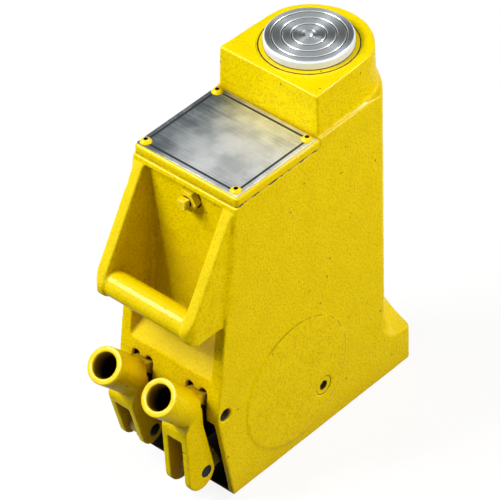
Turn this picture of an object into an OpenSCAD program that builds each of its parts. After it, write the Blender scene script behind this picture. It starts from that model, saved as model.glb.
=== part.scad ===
// Self-contained hydraulic jack with two hand pumps, a cast carry handle and a grooved saddle.
// Millimetres. The origin is on the floor under the plunger axis, +Z is up and the pump levers face -Y.

/* [Body casting] */
// Width over the two flat sides
body_w = 100; // [94:1:110]
// Height of the ledge that carries the head
body_h = 275; // [265:1:300]
// Front edge of the top, forward of the plunger axis
top_reach = 135; // [130:1:140]
// Nose of the side cheeks, forward of the plunger axis
nose_reach = 164; // [160:1:170]
// Height of the nose
nose_h = 84; // [80:1:88]
// Radius of the nose
nose_r = 30; // [10:1:40]
// Front edge of the base, forward of the plunger axis
toe_reach = 150; // [144:1:154]
// Radius of the rounded back
back_r = 59; // [57:1:66]
// Centre of the rounded back, forward of the plunger axis
back_shift = 9.5; // [6:0.5:12]
// Rear face of the foot, behind the plunger axis
foot_reach = 54; // [52:1:60]
// Thickness of the foot
foot_h = 29; // [24:0.5:36]
// Radius of the cove round the back's corners
foot_cove_r = 22; // [15:1:30]
// Radius of the wider flare behind the middle of the back
foot_flare_r = 56; // [44:1:64]
// Centre of the wider flare, behind the plunger axis
foot_flare_shift = 34; // [28:1:38]
// Radius of the foot's upright rear corners
foot_corner_r = 4; // [2:0.5:8]
// Radius of the round pad on the side
pad_r = 55; // [40:1:60]
// Height of the pad's centre
pad_h = 64; // [60:1:70]
// Centre of the pad, forward of the plunger axis
pad_reach = 78; // [70:1:85]
// How far the pad stands out of the side
pad_t = 0.8; // [0.4:0.1:1.5]

/* [Front of the casting] */
// Thickness of the cheeks beside the handle pocket
cheek_t = 10; // [8:0.5:12]
// Front wall of the reservoir, behind the cover's front edge
wall_setback = 2.5; // [1:0.5:5]
// Height of the lip under the cover
lip_h = 5; // [4:0.5:6]
// Height where the pocket's sloped floor meets the front wall
shelf_top_h = 143; // [136:1:150]
// Height where the pocket's sloped floor meets the front face
shelf_low_h = 114; // [111:1:118]
// Wall beside the pump cavity
cavity_wall = 5.5; // [4.5:0.5:6]
// Floor under the pump cavity
cavity_floor = 5; // [4:0.5:8]
// Top of the pump cavity
cavity_h = 77; // [74:1:79]
// Back wall of the pump cavity, behind the nose
cavity_depth = 52; // [48:1:58]
// Width of each lever slot above the cavity
slot_w = 20; // [18:0.5:21]
// Top of the lever slots
slot_h = 101; // [100:0.5:105]
// Radius of the relief holes in the slot's corners
relief_r = 3.5; // [2:0.5:4]

/* [Head] */
// Height of the head above the ledge
head_h = 36; // [32:1:42]
// Front face of the head, forward of the plunger axis
head_reach = 46; // [45:0.5:50]
// Inset of the head's sides at its top
head_taper = 1.2; // [0.6:0.2:2]
// Inset of the head's round back at the ledge
head_step = 1.4; // [1.2:0.2:3]
// Radius of the cove between the ledge and the head's round back
head_cove_r = 9; // [4:1:12]
// Centre of that cove, behind the plunger axis
head_cove_shift = 8; // [6:1:10]

/* [Reservoir] */
// Side walls of the reservoir
tank_wall = 10; // [9.5:0.5:12]
// Front wall of the reservoir
tank_front = 9; // [8:0.5:11]
// Rear wall of the reservoir, forward of the plunger axis
tank_back_reach = 60; // [57:1:64]
// Floor of the reservoir
tank_floor_h = 140; // [130:1:160]
// Thickness of the cover
cover_t = 7; // [5:0.5:10]
// Chamfer round the cover's top edge
cover_chamfer = 1.6; // [0.6:0.2:2.5]
// Radius of the cover's front corners
cover_corner_r = 3.5; // [2:0.5:5]
// Thickness of the cover gasket
gasket_t = 1; // [0.5:0.1:2]
// Thickness of the bare plate on the cover
plate_t = 1; // [0.6:0.1:1.5]
// Border of the cover left free round the plate
plate_margin = 2; // [1.5:0.5:3]
// Cover screws, in from the plate's edges
screw_inset = 4.6; // [4.2:0.2:5.2]
// Radius of a cover screw's shank
screw_r = 2.5; // [2:0.1:3]
// Radius of a cover screw's button head
screw_head_r = 4.7; // [4.2:0.1:5]
// Height of a cover screw's button head
screw_head_h = 2.8; // [2:0.1:3.5]
// How far a cover screw enters the casting
screw_grip = 10; // [8:1:14]

/* [Carry handle] */
// Radius of the handle bar
bar_r = 10.6; // [9:0.2:12]
// Handle bar, forward of the plunger axis
bar_reach = 175; // [172:1:182]
// Height of the handle bar
bar_h = 177; // [172:0.5:182]
// Thickness of the handle's two ears
ear_t = 9.5; // [8:0.5:11]
// Inset of the ears from the casting's sides
ear_inset = 2.5; // [1.5:0.5:4]
// Radius of the ears' lower ends
ear_end_r = 12; // [11.5:0.5:14]
// Radius of the handle's outer corners, seen from above
handle_corner_r = 9; // [4:1:10]

/* [Plunger] */
// Radius of the cylinder bore
bore_r = 36; // [34:0.5:37]
// Wall of the steel cylinder liner
liner_wall = 5; // [4:0.5:6]
// Floor of the casting under the cylinder
floor_t = 24; // [18:1:30]
// Radius of the plunger
ram_r = 31.5; // [30:0.5:32]
// Height of the plunger's piston
piston_h = 36; // [34:1:44]
// Depth of the gland ring in the head
gland_h = 22; // [20:1:28]
// Radius of the saddle
saddle_r = 33.5; // [33:0.1:35]
// Thickness of the saddle
saddle_t = 7; // [5:0.5:10]
// Chamfer round the saddle
saddle_chamfer = 1.2; // [0.8:0.2:3]
// Number of rings turned into the saddle
saddle_rings = 3; // [2:1:5]
// Depth of the rings
ring_depth = 0.9; // [0.5:0.1:1.5]
// Radius of the saddle screw's head
saddle_screw_r = 5; // [4:0.5:6]

/* [Pump levers] */
// Each lever, in from the casting's side
lever_inset = 23; // [22:0.5:24]
// Fulcrum behind the nose
fulcrum_setback = 9; // [8:0.5:10]
// Height of the fulcrum
fulcrum_h = 84; // [82:0.5:86]
// Radius of the fulcrum shaft
fulcrum_r = 5; // [4:0.5:6]
// Ends of the fulcrum shaft, in from the casting's sides
fulcrum_inset = 13; // [11:0.5:14]
// Width of the lug in the slot
lug_w = 16; // [14:0.5:16.5]
// Radius of the lug round the fulcrum
lug_r = 12.5; // [11:0.5:13]
// Upward slope of the lug, in degrees
lug_lean = 23; // [15:1:30]
// Radius of the socket
socket_r = 14.8; // [14:0.2:16]
// Radius of the handle bore in the socket
socket_bore_r = 10.2; // [9:0.1:11]
// Depth of the handle bore
socket_depth = 33; // [28:1:34]
// Upward slope of the socket, in degrees
socket_lean = 47; // [42:1:50]
// Socket mouth from the fulcrum, along the socket
socket_reach = 57.5; // [54:0.5:66]
// Socket axis below the fulcrum
socket_drop = 8.7; // [7:0.1:10]
// Width of the fork
fork_w = 25; // [24:0.5:28]
// Gap between the fork's cheeks
fork_gap = 14; // [13:0.5:15]
// Half width of a fork cheek at its knee
fork_r = 9.5; // [9:0.5:10]
// Half width of a load fork cheek round its pin
load_end_r = 11; // [10:0.5:12]
// Half width of a speed fork cheek round its pin
speed_end_r = 13.5; // [12:0.5:14]
// Middle of the load cheek's round end, forward of its pin
load_end_lead = 2; // [1:0.5:3]
// Middle of the speed cheek's round end, forward of its pin
speed_end_lead = 5; // [3:0.5:6]
// Knee of the fork cheeks, forward of the fulcrum
knee_lead = 22.5; // [22:0.5:24]
// Knee of the fork cheeks, below the fulcrum
knee_drop = 8; // [6:0.5:10]
// Half width of a fork cheek at its shoulder
shoulder_r = 4.5; // [4:0.5:6]
// Shoulder of the fork cheeks, above the fulcrum
shoulder_rise = 9; // [7:0.5:10]
// Load fork pin below the fulcrum
load_pin_drop = 46; // [44:0.5:48]
// Load fork pin forward of the fulcrum
load_pin_lead = 9.5; // [9.5:0.5:11]
// Speed fork pin below the fulcrum
speed_pin_drop = 54; // [52:0.5:56]
// Speed fork pin forward of the fulcrum
speed_pin_lead = 12; // [11:0.5:14]
// Radius of the fork pins
pin_r = 5; // [4:0.5:5.5]

/* [Pumps] */
// Radius of the load pump's piston
load_piston_r = 6; // [5:0.5:8]
// Radius of the speed pump's piston
speed_piston_r = 10; // [8:0.5:11]
// Radius of the eye on a piston
eye_r = 9; // [8.5:0.5:10]
// Length of the speed pump's piston, from its eye
piston_len = 79; // [78:1:84]
// Stroke of a piston
piston_stroke = 24; // [22:0.5:25]
// Radius of a pump gland's thread
gland_thread_r = 14; // [13:0.5:15]
// Length of a pump gland's thread
gland_thread_len = 16; // [12:1:20]
// Thickness of a pump gland's hexagon
gland_hex_t = 6; // [4:0.5:8]
// Thickness of a pump seal
pump_seal_t = 4; // [3:0.5:6]

/* [Valve and plug] */
// Release valve, right of the middle
vent_x = 4; // [-5:1:10]
// Release valve below the ledge
vent_drop = 23; // [23:1:31]
// Width across the flats of the valve bushing
vent_hex = 16; // [15:0.5:17]
// Thickness of the valve bushing's hexagon
vent_hex_t = 6; // [4:0.5:8]
// Radius of the valve bushing's thread
vent_thread_r = 6.5; // [5.5:0.5:7]
// Radius of the valve stem
stem_r = 3.5; // [3:0.5:4]
// Square on the valve stem
stem_square = 7.5; // [7:0.5:9]
// Length of the valve stem's square
stem_square_t = 5.5; // [5:0.5:9]
// Radius of the side plug
plug_r = 8; // [6:0.5:9]
// Length of the side plug
plug_len = 5; // [4:0.5:5.5]
// Height of the side plug
plug_h = 40; // [36:1:44]
// Side plug, forward of the plunger axis
plug_reach = 48; // [46:1:58]

/* [Fits] */
// Clearance of threads and pressed pieces
fit_gap = 0.04; // [0.03:0.01:0.05]
// Clearance of shafts and pistons that move
run_gap = 0.05; // [0.03:0.01:0.08]
// Clearance of screws and pieces that only pass
free_gap = 0.4; // [0.3:0.1:0.6]

/* [Hidden] */
$fn = 72;

YELLOW = "gold";
STEEL = "lightsteelblue";
DARK = "dimgray";
RUBBER = "black";

// Round ends stand this far out of the straight sides that meet them
tangent_ease = 0.02;
// How far a cutter runs past the face that it cuts
over = 1;
// Step between the cylinder bore and the gland's thread
gland_step = 0.7;
// Plunger above the cylinder's floor, and its end above the head
ram_rest = 0.2;
saddle_rest = 0.5;
// Grooves of the piston seal and bearing, and of the gland's seal and wiper
seal_depth = 5;
seal_h = 8;
bearing_depth = 3;
bearing_h = 12;
rod_seal_w = 3;
rod_seal_h = 6;
wiper_w = 1.6;
wiper_h = 5;
// Socket's blend into the lever
socket_blend = 6;
// Set screws at the ends of the fulcrum shaft
set_screw_step = 0.4;
set_screw_len = 6;
// Room left behind a pump piston at full stroke
stroke_room = 2;

// Heights and places worked out from the sizes above
half_w = body_w / 2;
head_top = body_h + head_h;
seat_h = body_h - cover_t - gasket_t;
front_lean = (nose_reach - top_reach) / (body_h - nose_h);
back_corner = sqrt(back_r * back_r - half_w * half_w) - back_shift;
back_reach = back_r - back_shift;
wall_reach = top_reach - wall_setback;
pocket_hw = half_w - cheek_t;
cavity_hw = half_w - cavity_wall;
cavity_reach = nose_reach - cavity_depth;
tank_hw = half_w - tank_wall;
plate_hw = half_w - plate_margin;
plate_front = -top_reach + plate_margin;
plate_back = -head_reach - plate_margin;
screw_x = plate_hw - screw_inset;
screw_ys = [plate_front + screw_inset, plate_back - screw_inset];
plate_top = body_h + plate_t;
ear_x = half_w - ear_inset - ear_t / 2;
liner_r = bore_r + liner_wall;
liner_top = head_top - gland_h;
gland_r = bore_r + gland_step;
ram_bottom = floor_t + ram_rest;
ram_top = head_top + saddle_rest;
seal_z = ram_bottom + seal_depth;
bearing_z = seal_z + seal_h + seal_depth;
rod_seal_z = liner_top + rod_seal_w;
lever_x = half_w - lever_inset;
fulcrum = [-nose_reach + fulcrum_setback, fulcrum_h];
socket_dir = [-cos(socket_lean), sin(socket_lean)];
socket_axis = -socket_drop * [sin(socket_lean), cos(socket_lean)];
socket_root = socket_r + socket_blend;
load_eye = [-load_pin_lead, -load_pin_drop];
speed_eye = [-speed_pin_lead, -speed_pin_drop];
fork_knee = [-knee_lead, -knee_drop];
fork_shoulder = [-lug_r - over - shoulder_r, shoulder_rise];
load_pin = fulcrum + load_eye;
speed_pin = fulcrum + speed_eye;
piston_end = speed_pin.x + piston_len;
slot_back = fulcrum.x + lug_r + stroke_room;
shaft_end = half_w - fulcrum_inset;
set_screw_r = fulcrum_r + set_screw_step;
gland_end = -cavity_reach + gland_thread_len;
seal_end = gland_end + pump_seal_t;
pump_end = piston_end + piston_stroke + stroke_room;
vent_h = body_h - vent_drop;

// Forward edge of the cheeks at a height
function front_y(z) = -top_reach - (body_h - z) * front_lean;

// Stretches an outline drawn in (y, z) over a width along X
module across(w, x = 0) {
    translate([x - w / 2, 0, 0]) rotate([90, 0, 90]) linear_extrude(w) children();
}

// Cylinder along +Y from y
module rod_y(x, y, z, len, r) {
    translate([x, y, z]) rotate([-90, 0, 0]) cylinder(h = len, r = r);
}

// Hexagon along +Y from y, turned about its axis
module hex_y(x, y, z, len, flats, turn) {
    translate([x, y, z]) rotate([-90, 0, 0]) rotate(turn) cylinder(h = len, r = flats / 2 / cos(30), $fn = 6);
}

// Cylinder along X, centred on x
module rod_x(x, y, z, len, r) {
    translate([x, y, z]) rotate([0, 90, 0]) cylinder(h = len, r = r, center = true);
}

// Ring about the plunger axis
module ring_z(z, h, inner, outer) {
    translate([0, 0, z]) difference() {
        cylinder(h = h, r = outer);
        translate([0, 0, -over]) cylinder(h = h + 2 * over, r = inner);
    }
}

// Straight part of a bar with two round ends, along its outer tangents
module bar2d(p, rp, q, rq) {
    len = norm(q - p);
    u = (q - p) / len;
    c = (rp - rq) / len;
    s = sqrt(1 - c * c);
    left = [u.x * c - u.y * s, u.y * c + u.x * s];
    right = [u.x * c + u.y * s, u.y * c - u.x * s];
    small = rp - tangent_ease;
    other = rq - tangent_ease;
    polygon([p + small * left, q + other * left, q + other * right, p + small * right]);
}

// Outline of a bar with two round ends
module link2d(p, rp, q, rq) {
    bar2d(p, rp, q, rq);
    translate(p) circle(rp);
    translate(q) circle(rq);
}

// Side outline of the casting: leaning front, round nose, undercut down to the toe
module side2d() {
    nose = [-nose_reach, nose_h];
    toe = [-toe_reach, 0];
    top = [-top_reach, body_h];
    down = (toe - nose) / norm(toe - nose);
    up = (top - nose) / norm(top - nose);
    half_angle = acos(down * up) / 2;
    reach = nose_r / tan(half_angle);
    bisector = (down + up) / norm(down + up);
    polygon([
        toe, nose + reach * down, nose + reach * up, [front_y(seat_h), seat_h],
        [-head_reach, seat_h], [-head_reach, body_h], [back_reach, body_h], [back_reach, 0]
    ]);
    intersection() {
        translate(nose + nose_r / sin(half_angle) * bisector) circle(nose_r + tangent_ease);
        polygon([toe, nose, top]);
    }
}

// Plan of the casting: flat sides and a rounded back
module plan2d() {
    intersection() {
        translate([-half_w, -2 * nose_reach]) square([body_w, 4 * nose_reach]);
        union() {
            translate([0, -back_shift]) circle(back_r);
            translate([-half_w, -2 * nose_reach]) square([body_w, 2 * nose_reach - back_shift]);
        }
    }
}

// Plan of the foot: square at the back, with eased corners
module foot2d() {
    corner = half_w - foot_corner_r;
    translate([-half_w, -back_shift]) square([body_w, foot_reach - foot_corner_r + back_shift]);
    translate([-corner, -back_shift]) square([2 * corner, foot_reach + back_shift]);
    for (side = [-1, 1]) translate([side * corner, foot_reach - foot_corner_r]) circle(foot_corner_r);
}

// Round flare with a hollow profile, from radius r out over a floor at z
module cove(r, z, cove_r) {
    translate([0, 0, z]) rotate_extrude() difference() {
        translate([r - 3 * over, -over]) square([cove_r + 3 * over, cove_r + over]);
        translate([r + cove_r, cove_r]) circle(cove_r);
    }
}

// Foot and the flare that joins it to the round back
module foot() {
    linear_extrude(foot_h) foot2d();
    intersection() {
        union() {
            translate([0, -back_shift, 0]) cove(back_r, foot_h, foot_cove_r);
            translate([0, foot_flare_shift, 0]) cove(back_reach - foot_flare_shift, foot_h, foot_flare_r);
        }
        linear_extrude(body_h) foot2d();
        translate([-body_w, -back_shift, 0]) cube([2 * body_w, body_w + foot_reach, body_h]);
    }
}

// Head: drafted block in front, tapered round back, flared onto the ledge
module head() {
    top_scale = 1 - head_taper / half_w;
    low_scale = 1 + (1 - top_scale) * over / head_h;
    back_hw = half_w - head_step;
    intersection() {
        union() {
            translate([0, 0, body_h - over]) linear_extrude(head_h + over, scale = top_scale / low_scale)
                scale(low_scale) polygon([
                    [-half_w, -head_reach], [half_w, -head_reach], [back_hw, 0], [-back_hw, 0]
                ]);
            translate([0, 0, body_h - over])
                cylinder(h = head_h + over, r1 = back_hw * low_scale, r2 = back_hw * top_scale);
            translate([0, head_cove_shift, 0]) cove(back_hw - head_cove_shift, body_h, head_cove_r);
        }
        linear_extrude(head_top) plan2d();
        across(body_w) polygon([
            [-head_reach, body_h - over], [-head_reach, body_h], [-head_reach * top_scale, head_top],
            [body_w, head_top], [body_w, body_h - over]
        ]);
    }
}

// Plan of the carry handle, with rounded outer corners
module handle2d() {
    outer = half_w - ear_inset;
    corner = outer - handle_corner_r;
    front = -bar_reach - ear_end_r - over;
    translate([-outer, front + handle_corner_r]) square([2 * outer, bar_reach]);
    translate([-corner, front]) square([2 * corner, bar_reach]);
    for (side = [-1, 1]) translate([side * corner, front + handle_corner_r]) circle(handle_corner_r);
}

// Carry handle: two ears that slope down and forward to a round bar
module carry_handle() {
    bar = [-bar_reach, bar_h];
    root = [-wall_reach, seat_h - lip_h];
    crest = [front_y(seat_h - lip_h) - over, seat_h - lip_h];
    slope = bar - crest;
    down = slope / norm(slope);
    lean = asin(ear_end_r / norm(slope));
    front = bar + (ear_end_r - tangent_ease) * (cos(lean) * [down.y, -down.x] - sin(lean) * down);
    low = bar_h - ear_end_r + tangent_ease;
    intersection() {
        union() {
            for (side = [-1, 1]) across(ear_t, side * ear_x) {
                polygon([root, crest, front, bar, [-bar_reach, low], [-wall_reach, low]]);
                translate(bar) circle(ear_end_r);
            }
            rod_x(0, -bar_reach, bar_h, 2 * ear_x, bar_r);
        }
        linear_extrude(body_h) handle2d();
    }
}

// Pocket behind the handle bar, down to its sloped floor
module handle_pocket() {
    ahead = -2 * nose_reach;
    across(2 * pocket_hw) polygon([
        [-wall_reach, seat_h - lip_h], [-wall_reach, shelf_top_h], [front_y(shelf_low_h), shelf_low_h],
        [ahead, shelf_low_h], [ahead, seat_h - lip_h]
    ]);
}

// Pump cavity, with a slot and two relief holes above it for each lever
module pump_cavity() {
    ahead = 2 * nose_reach;
    translate([-cavity_hw, -ahead, cavity_floor])
        cube([2 * cavity_hw, ahead - cavity_reach, cavity_h - cavity_floor]);
    for (x = [-lever_x, lever_x]) {
        translate([x - slot_w / 2, -ahead, cavity_h - over])
            cube([slot_w, ahead + slot_back, slot_h - cavity_h + over]);
        for (side = [-1, 1])
            rod_y(x + side * (slot_w / 2 - relief_r), -ahead, slot_h, ahead + slot_back, relief_r);
    }
}

// Bores for one pump: gland thread and seal, then the piston's own bore
module pump_bore(x, z, r) {
    rod_y(x, -cavity_reach - over, z, seal_end + cavity_reach + over, gland_thread_r + fit_gap);
    rod_y(x, -cavity_reach, z, pump_end + cavity_reach, r + free_gap);
}

// Cylinder, gland thread and the relief that shows as a dark line round the gland
module plunger_bores() {
    translate([0, 0, floor_t]) cylinder(h = bore_r, r = bore_r);
    translate([0, 0, floor_t]) cylinder(h = liner_top - floor_t, r = liner_r + fit_gap);
    translate([0, 0, liner_top - over]) cylinder(h = gland_h + 2 * over, r = gland_r + fit_gap);
    translate([0, 0, head_top - gland_h / 4]) cylinder(h = gland_h, r = gland_r + free_gap);
}

module body_casting() color(YELLOW) difference() {
    union() {
        difference() {
            intersection() {
                across(body_w) side2d();
                linear_extrude(head_top) plan2d();
            }
            handle_pocket();
        }
        foot();
        head();
        carry_handle();
        rod_x(half_w + pad_t / 2 - over, -pad_reach, pad_h, pad_t + 2 * over, pad_r);
    }
    pump_cavity();
    plunger_bores();
    pump_bore(-lever_x, load_pin.y, load_piston_r);
    pump_bore(lever_x, speed_pin.y, speed_piston_r);
    translate([-tank_hw, -wall_reach + tank_front, tank_floor_h])
        cube([2 * tank_hw, wall_reach - tank_front - tank_back_reach, body_h]);
    rod_x(0, fulcrum.x, fulcrum.y, body_w, fulcrum_r + fit_gap);
    for (side = [-1, 1])
        rod_x(side * (shaft_end + half_w), fulcrum.x, fulcrum.y, body_w, set_screw_r + fit_gap);
    rod_y(vent_x, -top_reach, vent_h, top_reach - tank_back_reach, vent_thread_r + fit_gap);
    rod_x(half_w + pad_t, -plug_reach, plug_h, 2 * (plug_len + pad_t), plug_r + fit_gap);
    for (x = [-screw_x, screw_x], y = screw_ys)
        translate([x, y, seat_h - screw_grip - over])
            cylinder(h = screw_grip + 2 * over, r = screw_r + fit_gap);
}

// Plan of the cover, between the head and the front edge
module cover2d() {
    corner = half_w - cover_corner_r;
    front = cover_corner_r - top_reach;
    translate([-half_w, front]) square([body_w, -front - head_reach]);
    translate([-corner, -top_reach]) square([2 * corner, top_reach - head_reach]);
    for (side = [-1, 1]) translate([side * corner, front]) circle(cover_corner_r);
}

// Clearance holes for the four cover screws
module screw_holes() {
    for (x = [-screw_x, screw_x], y = screw_ys)
        translate([x, y, seat_h - over]) cylinder(h = head_h, r = screw_r + free_gap);
}

// Chamfer cutters along the cover's front and side edges
module cover_edges() {
    cut = cover_chamfer * sqrt(2);
    translate([0, -top_reach, body_h]) rotate([45, 0, 0]) cube([2 * body_w, cut, cut], center = true);
    for (side = [-1, 1]) translate([side * half_w, -top_reach, body_h]) rotate([0, 45, 0])
        cube([cut, 4 * top_reach, cut], center = true);
}

module top_cover() color(YELLOW) difference() {
    translate([0, 0, seat_h + gasket_t]) linear_extrude(cover_t) cover2d();
    cover_edges();
    screw_holes();
}

module cover_gasket() color(RUBBER) difference() {
    translate([0, 0, seat_h]) linear_extrude(gasket_t) difference() {
        cover2d();
        translate([-tank_hw, -wall_reach + tank_front])
            square([2 * tank_hw, wall_reach - tank_front - tank_back_reach]);
    }
    screw_holes();
}

module nameplate() color("silver") difference() {
    translate([-plate_hw, plate_front, body_h]) cube([2 * plate_hw, plate_back - plate_front, plate_t]);
    screw_holes();
}

// Button head with a hexagon socket, standing on z = 0, shank downwards
module button_screw(shank) {
    dome_r = (screw_head_r * screw_head_r + screw_head_h * screw_head_h) / (2 * screw_head_h);
    difference() {
        union() {
            intersection() {
                translate([0, 0, screw_head_h - dome_r]) sphere(dome_r);
                cylinder(h = screw_head_h, r = screw_head_r);
            }
            translate([0, 0, -shank]) cylinder(h = shank + over / 2, r = screw_r);
        }
        translate([0, 0, screw_head_h / 3]) cylinder(h = screw_head_h, r = screw_r * 0.7, $fn = 6);
    }
}

module cover_screws() color(YELLOW) {
    for (x = [-screw_x, screw_x], y = screw_ys)
        translate([x, y, plate_top]) button_screw(plate_top - seat_h + screw_grip);
}

module cylinder_liner() color(STEEL) ring_z(floor_t, liner_top - floor_t, bore_r, liner_r);

module plunger() color(STEEL) difference() {
    union() {
        translate([0, 0, ram_bottom]) cylinder(h = ram_top - ram_bottom, r = ram_r);
        translate([0, 0, ram_bottom]) cylinder(h = piston_h, r = bore_r - free_gap);
    }
    ring_z(seal_z, seal_h, bore_r - seal_depth, bore_r + over);
    ring_z(bearing_z, bearing_h, bore_r - bearing_depth, bore_r + over);
    translate([0, 0, ram_top - 3 * saddle_screw_r])
        cylinder(h = 4 * saddle_screw_r, r = saddle_screw_r / 2 + fit_gap);
}

module piston_seal() color(RUBBER) ring_z(seal_z, seal_h, bore_r - seal_depth + fit_gap, bore_r - run_gap);

module piston_bearing() color("saddlebrown")
    ring_z(bearing_z, bearing_h, bore_r - bearing_depth + fit_gap, bore_r - run_gap);

// Saddle: turned disc with rings cut in its face and a recess for its screw
module saddle() {
    recess = saddle_screw_r + free_gap;
    land = saddle_r - saddle_chamfer;
    step = (land - recess) / (saddle_rings + 0.65);
    low_chamfer = saddle_chamfer * 0.4;
    face = [for (i = [1:saddle_rings]) each [
        [recess + i * step - ring_depth, saddle_t], [recess + i * step, saddle_t - ring_depth],
        [recess + i * step + ring_depth, saddle_t]
    ]];
    color("gainsboro") translate([0, 0, ram_top]) rotate_extrude() polygon(concat(
        [[saddle_screw_r / 2 + free_gap, 0], [saddle_screw_r / 2 + free_gap, saddle_t / 2],
         [recess, saddle_t / 2], [recess, saddle_t]],
        face,
        [[land, saddle_t], [saddle_r, saddle_t - saddle_chamfer],
         [saddle_r, low_chamfer], [saddle_r - low_chamfer, 0]]
    ));
}

module saddle_screw() color("gainsboro") difference() {
    union() {
        translate([0, 0, ram_top + saddle_t / 2])
            cylinder(h = saddle_t / 2 - saddle_rest, r = saddle_screw_r);
        translate([0, 0, ram_top - 2.5 * saddle_screw_r])
            cylinder(h = 2.5 * saddle_screw_r + saddle_t / 2 + over, r = saddle_screw_r / 2);
    }
    translate([0, 0, ram_top + saddle_t / 2 + over])
        cylinder(h = saddle_t, r = saddle_screw_r * 0.55, $fn = 6);
}

module gland_ring() color(YELLOW) difference() {
    ring_z(liner_top, gland_h, ram_r + run_gap, gland_r);
    ring_z(rod_seal_z, rod_seal_h, ram_r - over, ram_r + rod_seal_w);
    ring_z(head_top - wiper_h, wiper_h + over, ram_r - over, ram_r + wiper_w);
}

module rod_seal() color(RUBBER)
    ring_z(rod_seal_z, rod_seal_h, ram_r + run_gap, ram_r + rod_seal_w - fit_gap);

module rod_wiper() color(RUBBER)
    ring_z(head_top - wiper_h, wiper_h, ram_r + run_gap, ram_r + wiper_w - fit_gap);

// Lever about its fulcrum: lug behind, socket up and forward, fork down to the pin's eye
module lever(eye, end_lead, end_r) difference() {
    fork_end = eye - [end_lead, 0];
    union() {
        across(lug_w) link2d([0, 0], lug_r, (lug_r + fork_r) * [-cos(lug_lean), sin(lug_lean)], lug_r);
        across(fork_w) {
            link2d(fork_end, end_r, fork_knee, fork_r);
            bar2d(fork_knee, fork_r, fork_shoulder, shoulder_r);
            translate(fork_shoulder) circle(shoulder_r);
        }
        translate([0, socket_axis.x, socket_axis.y]) rotate([90 - socket_lean, 0, 0])
            translate([0, 0, socket_root]) cylinder(h = socket_reach - socket_root, r = socket_r);
    }
    translate([0, socket_axis.x, socket_axis.y]) rotate([90 - socket_lean, 0, 0])
        translate([0, 0, socket_reach - socket_depth]) cylinder(h = 2 * socket_depth, r = socket_bore_r);
    across(fork_gap) polygon([
        [-2 * socket_reach, -socket_r], [lug_r, -socket_r],
        [lug_r, fork_end.y - 2 * end_r], [-2 * socket_reach, fork_end.y - 2 * end_r]
    ]);
    rod_x(0, 0, 0, 2 * fork_w, fulcrum_r + run_gap);
    rod_x(0, eye.x, eye.y, 2 * fork_w, pin_r + fit_gap);
}

module load_lever() color(YELLOW) translate([-lever_x, fulcrum.x, fulcrum.y])
    lever(load_eye, load_end_lead, load_end_r);

module speed_lever() color(YELLOW) translate([lever_x, fulcrum.x, fulcrum.y])
    lever(speed_eye, speed_end_lead, speed_end_r);

module fulcrum_shaft() color(STEEL) rod_x(0, fulcrum.x, fulcrum.y, 2 * shaft_end, fulcrum_r);

// Hexagon-socket screws that hold the shaft in from both sides
module fulcrum_set_screws() color(DARK) for (side = [-1, 1]) difference() {
    rod_x(side * (shaft_end + set_screw_len / 2), fulcrum.x, fulcrum.y, set_screw_len, set_screw_r);
    translate([side * (shaft_end + set_screw_len), fulcrum.x, fulcrum.y]) rotate([0, 90, 0])
        cylinder(h = set_screw_len, r = set_screw_r / 2, center = true, $fn = 6);
}

module load_fork_pin() color(DARK) rod_x(-lever_x, load_pin.x, load_pin.y, fork_w, pin_r);

module speed_fork_pin() color(DARK) rod_x(lever_x, speed_pin.x, speed_pin.y, fork_w, pin_r);

// Pump piston: flat eye with an upright slot for the fork pin, then a ground rod
module piston(x, pin, r) {
    slot_r = pin_r + free_gap;
    neck = fork_r + eye_r / 3;
    translate([x, pin.x, pin.y]) difference() {
        union() {
            across(fork_gap - 2 * free_gap) link2d([0, 0], eye_r, [neck, 0], min(eye_r, r));
            rod_y(0, neck, 0, piston_end - pin.x - neck, r);
        }
        across(fork_gap) link2d([0, free_gap], slot_r, [0, -pin_r / 2], slot_r);
    }
}

module load_piston() color(STEEL) piston(-lever_x, load_pin, load_piston_r);

module speed_piston() color(STEEL) piston(lever_x, speed_pin, speed_piston_r);

// Threaded gland that guides a piston and holds its seal in the casting
module pump_gland(x, z, r) difference() {
    union() {
        rod_y(x, -cavity_reach - gland_hex_t / 2, z, gland_thread_len + gland_hex_t / 2, gland_thread_r);
        hex_y(x, -cavity_reach - gland_hex_t, z, gland_hex_t, 2 * (gland_thread_r + over), 30);
    }
    through = gland_thread_len + gland_hex_t + 2 * over;
    rod_y(x, -cavity_reach - gland_hex_t - over, z, through, r + run_gap);
}

module load_pump_gland() color(STEEL) pump_gland(-lever_x, load_pin.y, load_piston_r);

module speed_pump_gland() color(STEEL) pump_gland(lever_x, speed_pin.y, speed_piston_r);

// Seal between a gland's end and the shoulder of the pump bore
module pump_seal(x, z, r) difference() {
    rod_y(x, gland_end, z, pump_seal_t, gland_thread_r);
    rod_y(x, gland_end - over, z, pump_seal_t + 2 * over, r + run_gap);
}

module load_pump_seal() color(RUBBER) pump_seal(-lever_x, load_pin.y, load_piston_r);

module speed_pump_seal() color(RUBBER) pump_seal(lever_x, speed_pin.y, speed_piston_r);

module valve_bushing() color(YELLOW) difference() {
    union() {
        rod_y(vent_x, -wall_reach - vent_hex_t / 2, vent_h, tank_front + vent_hex_t / 2, vent_thread_r);
        hex_y(vent_x, -wall_reach - vent_hex_t, vent_h, vent_hex_t, vent_hex, 0);
    }
    through = vent_hex_t + tank_front + 2 * over;
    rod_y(vent_x, -wall_reach - vent_hex_t - over, vent_h, through, stem_r + run_gap);
}

module valve_stem() color(YELLOW) {
    face = -wall_reach - vent_hex_t - free_gap;
    rod_y(vent_x, face - over, vent_h, vent_hex_t + tank_front + free_gap + over, stem_r);
    translate([vent_x - stem_square / 2, face - stem_square_t, vent_h - stem_square / 2])
        cube([stem_square, stem_square_t, stem_square]);
}

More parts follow.
